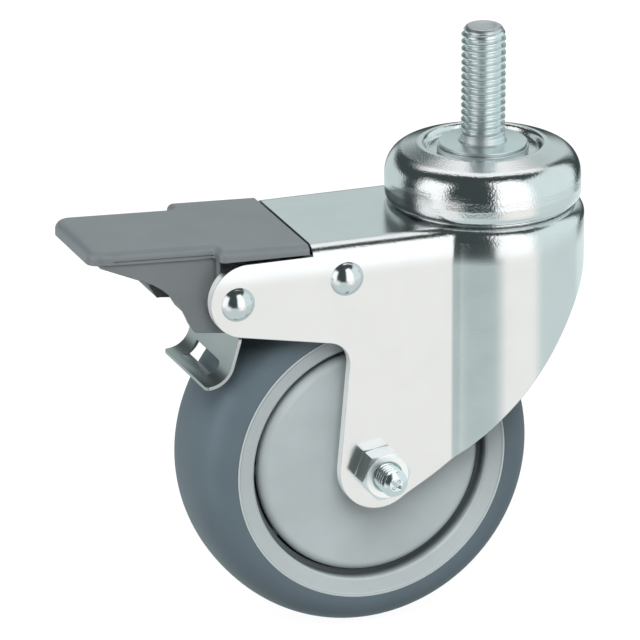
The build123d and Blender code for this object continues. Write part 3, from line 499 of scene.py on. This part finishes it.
def sheared(shades, colour, rough):
    """Paler, rougher and less like a mirror on the cut edges of both cheeks."""
    x, y, z = shades.xyz()
    out = y.maths("ABSOLUTE")
    inner, outer = CHEEK_INNER + 0.12 * MM, CHEEK_OUTER - 0.12 * MM
    edge = out.rise(inner, inner + 0.05 * MM) * (1 - out.rise(outer - 0.05 * MM, outer))
    edge = edge * (1 - x.rise(CHEEK_FRONT - 1 * MM, CHEEK_FRONT))
    edge = edge * (1 - z.rise(FORK_BEND_FOOT - 1 * MM, FORK_BEND_FOOT))
    return shades.blend(edge, colour, CUT_ZINC), rough + edge * 0.3, 1 - edge * 0.7


def shoulder(shades):
    """The sides lean in a little just below the bend, and more the nearer to it."""
    above = (shades.xyz()[2] - SHOULDER_FOOT).maths("MAXIMUM", 0.0)
    return above * above * (-0.5 * SHOULDER_CURVE)


fork_finish = zinc_plate(
    "fork_zinc", ZINC, roughness=0.15, grain=0.6 * MM, depth=0.055 * MM, edge=0.3 * MM,
    peel=stretched, dull=sheared, lean=shoulder,
)
paint(cad["fork"], fork_finish)


# ---- rivets, tubes and washers ----
# Mushroom rivets of zinc-plated steel, headed over through both cheeks. Each holds a spacer tube, on
# which a lever turns, and two washers stand beside the pedal.
turned_zinc = zinc_plate(
    "turned_zinc", ZINC, roughness=0.14, grain=0.4 * MM, depth=0.010 * MM, edge=0.08 * MM
)
for name in ("pedal_rivet", "brake_rivet", "pedal_pivot_tube", "brake_pivot_tube", "pedal_washers"):
    paint(cad[name], turned_zinc)


# ---- axle bolt and nut ----
# An M8 size hexagon bolt through cheeks and wheel, with a hexagon nut. The bolt's thread stands out
# beyond the nut, and its tapered end is spread with a cross punch so that the nut can't come off.
AXLE = Vector((-40.3, 0, -86.5)) * MM
FORK_HALF = 23.2
HEX_FLATS = 13.0
HEX_FACE = 6.3                      # radius inside which a hexagon's end is flat
NUT_HEIGHT, NUT_TURN = 6.8, 9.0
NUT_BORE, NUT_SINK = 4.03, 0.55     # radius of the bore, and depth of its countersink
BOLT_RADIUS = 3.97
BOLT_PITCH = 25.4 / 18
BOLT_THREAD_DEPTH, BOLT_CREST = 0.75, 0.3
BOLT_TIP = 37.0
BOLT_TAPER = 1.4
BOLT_HEAD = 5.3
BOLT_END = 1.9                      # radius of the flat end
PUNCH_DEPTH, PUNCH_TURN = 0.85, 40
PUNCH_WIDTH, PUNCH_REACH = 1.0, 1.8     # of each arm of the cross, and from its middle


def hexagon(angle, turn=0.0):
    """Distance of a hexagon's edge from its middle, and how far its end is turned off there."""
    side = math.pi / 3
    reach = HEX_FLATS / 2 / math.cos((angle - math.radians(turn)) % side - side / 2)
    return reach, (reach - HEX_FACE) * math.tan(math.radians(30))


def punch_mark(x, y):
    """Depth of the cross that the punch leaves in the bolt's end."""
    half = PUNCH_WIDTH / 2
    turned = Matrix.Rotation(math.radians(PUNCH_TURN), 2) @ Vector((x, y))
    arms = []
    for across, along in ((turned.x, turned.y), (turned.y, turned.x)):
        arms.append(clamp(1 - abs(across) / half) * clamp((PUNCH_REACH - abs(along)) / half))
    return PUNCH_DEPTH * max(arms)


def bolt_section(angle):
    """Head, plain shank, thread, tapered end and punched end face."""
    reach, cut = hexagon(angle)
    outside = -FORK_HALF - BOLT_HEAD
    shank = 4.0
    start = FORK_HALF + 5.0
    rows = [(0, outside), (HEX_FACE, outside), (reach, outside + cut), (reach, -FORK_HALF)]
    rows += [(shank, -FORK_HALF), (shank, FORK_HALF)]
    thread_rows, end_rows = 120, 12
    for i in range(thread_rows + 1):
        height = start + i * (BOLT_TIP - start) / thread_rows
        radius = thread(angle, height, BOLT_RADIUS, BOLT_PITCH, BOLT_THREAD_DEPTH, BOLT_CREST)
        tapered = BOLT_END + (shank - BOLT_END) * clamp((BOLT_TIP - height) / BOLT_TAPER) ** 0.75
        rows.append((min(radius, tapered), height))
    for i in range(1, end_rows):
        r = BOLT_END * (1 - i / end_rows)
        rows.append((r, BOLT_TIP - punch_mark(r * math.cos(angle), r * math.sin(angle))))
    return rows + [(0, BOLT_TIP - PUNCH_DEPTH)]


def nut_section(angle):
    """Both faces, the six flats and the countersink, whose edge is held crisp by a second ring beside it."""
    reach, cut = hexagon(angle, NUT_TURN)
    face = FORK_HALF + NUT_HEIGHT
    sink = NUT_BORE + 0.62
    return [
        (NUT_BORE, FORK_HALF), (HEX_FACE, FORK_HALF), (reach, FORK_HALF + cut), (reach, face - cut),
        (HEX_FACE, face), (sink + 0.1, face), (sink, face), (NUT_BORE, face - NUT_SINK),
    ]


bolt_finish = zinc_plate(
    "bolt_zinc", BLUE_ZINC, roughness=0.18, grain=0.35 * MM, depth=0.010 * MM, edge=0.1 * MM
)
nut_finish = zinc_plate(
    "nut_zinc", CUT_ZINC, roughness=0.32, grain=0.5 * MM, depth=0.02 * MM, edge=0.13 * MM
)
for name, section, closed, hidden, finish in (
    ("bolt_with_thread", bolt_section, False, "axle_bolt", bolt_finish),
    ("nut_with_countersink", nut_section, True, "axle_nut", nut_finish),
):
    mesh = skin(name, section, sharp=25, closed=closed)
    mesh.transform(Matrix.Translation(AXLE) @ Matrix.Rotation(math.radians(90), 4, "X"))
    piece = add(name, mesh, "fork")
    paint(piece, finish)
    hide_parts(hidden)


# ---- wheel centre and thread guards ----
# Hard light grey plastic. The wheel centre's rim shows as a ring round the guard, a loose cap that keeps
# threads out of the bearing; between the two lies a deep narrow groove.


def moulded(name, colour, roughness, grain, depth, edge=0.3 * MM, tone=None):
    """Moulded plastic or rubber: a grain from the mould, and faint flow marks in the colour.

    tone(shades, colour) may change the colour with the place on the piece."""
    finish = bpy.data.materials.new(name)
    shades = Shades(finish)
    flow_size, flow_shade = 14 * MM, 0.04
    flow = shades.noise(flow_size, 4.0).rise(0.3, 0.7)
    specks = shades.noise(grain)
    dark, light = (tuple((1 + side * flow_shade) * part for part in colour) for side in (-1, 1))
    shade = shades.blend(flow, dark, light)
    if tone:
        shade = tone(shades, shade)
    shades.surface(shade, (specks - 0.5) * 0.1 + roughness, edge, specks, depth)
    return finish


def from_axle(shades):
    """Distance from the axle's line, in metres."""
    x, y, z = shades.xyz()
    x, z = x - AXLE.x, z - AXLE.z
    return (x * x + z * z).maths("SQRT")


GROOVE_PAINTED_SHADE = (0.110, 0.132, 0.140)
LIP_TONE = (0.54, 0.60, 0.61)
SEAM_TONE = (0.30, 0.34, 0.35)
RIM_SEAM, GROOVE_FLOOR, RIM_FACE = 39.95 * MM, 13.6 * MM, 16.7 * MM


def rim_marks_and_groove_shade(shades, colour):
    """A seam line and a paler lip where the tread begins; painted shade darkens the groove towards its
    floor.
    """
    out = from_axle(shades)
    seam = out.rise(RIM_SEAM - 0.12 * MM, RIM_SEAM) * (1 - out.rise(RIM_SEAM, RIM_SEAM + 0.12 * MM))
    colour = shades.blend(seam, colour, SEAM_TONE)
    colour = shades.blend(out.rise(RIM_SEAM + 0.1 * MM, RIM_SEAM + 0.25 * MM), colour, LIP_TONE)
    # painted shade: the colour darkens from the rim's face down to the groove's floor
    depth = shades.xyz()[1].maths("ABSOLUTE")
    return shades.blend(depth.rise(GROOVE_FLOOR, RIM_FACE), GROOVE_PAINTED_SHADE, colour)


RIM_PLASTIC = (0.46, 0.51, 0.52)
GUARD_PLASTIC = (0.468, 0.526, 0.537)
satin = {"roughness": 0.42, "grain": 0.3 * MM, "depth": 0.004 * MM}
rim_finish = moulded("wheel_plastic", RIM_PLASTIC, **satin, tone=rim_marks_and_groove_shade)
guard_finish = moulded("guard_plastic", GUARD_PLASTIC, **satin)
paint(cad["wheel_centre"], rim_finish)
for side in ("near", "far"):
    paint(cad[f"thread_guard_{side}"], guard_finish)
    for ring in ("outer", "inner"):
        paint(cad[f"bearing_{ring}_ring_{side}"], ring_finish)
for name in ("bearing_spacer", "axle_sleeve"):
    paint(cad[name], turned_zinc)


# ---- tread ----
# Soft grey rubber of a non-marking grade, with a satin skin. It is moulded straight onto the wheel
# centre and grips a bead round it.
RUBBER = (0.106, 0.145, 0.170)
tread_finish = moulded("tread_rubber", RUBBER, roughness=0.52, grain=0.35 * MM, depth=0.010 * MM)
paint(cad["tread"], tread_finish)


# ---- brake lever ----
# A bent strip of hardened spring sheet, with a duller zinc plating than the fork's. It turns on its
# rivet's tube; its curled shoe hangs over the tread and its finger points at the lock ring.
BRAKE_ZINC = (0.50, 0.52, 0.515)
# colour of the painted shade towards the shoe
SHOE_SHADE_ZINC = (0.42, 0.46, 0.46)
BRAKE_SHOE_TOP, BRAKE_SHOE_FOOT = -48 * MM, -58 * MM


def shoe_shade(shades, colour, rough):
    """Painted shade: darker towards the shoe, low over the tread."""
    low = 1 - shades.xyz()[2].rise(BRAKE_SHOE_FOOT, BRAKE_SHOE_TOP)
    return shades.blend(low, colour, SHOE_SHADE_ZINC), rough, 1.0


brake_finish = zinc_plate(
    "brake_zinc", BRAKE_ZINC, roughness=0.34, grain=0.4 * MM, depth=0.008 * MM, edge=0.15 * MM, dull=shoe_shade
)
paint(cad["brake_lever"], brake_finish)


# ---- pedal ----
# A pressed steel channel in grey paint turns on its rivet. A plastic cam block sits inside it, and a
# moulded plastic foot plate is clipped over its top.
LEVER_PAINT = (0.164, 0.184, 0.189)
CAM_PLASTIC = (0.06, 0.065, 0.07)
COVER_PLASTIC = (0.170, 0.191, 0.202)
for piece, finish, colour, roughness, grain, edge in (
    ("pedal_lever", "lever_paint", LEVER_PAINT, 0.4, 0.5 * MM, 0.3 * MM),
    ("pedal_cam", "cam_plastic", CAM_PLASTIC, 0.45, 0.5 * MM, 0.3 * MM),
    ("pedal_cover", "cover_plastic", COVER_PLASTIC, 0.33, 0.35 * MM, 0.1 * MM),
):
    paint(cad[piece], moulded(finish, colour, roughness, grain, depth=0.006 * MM, edge=edge))
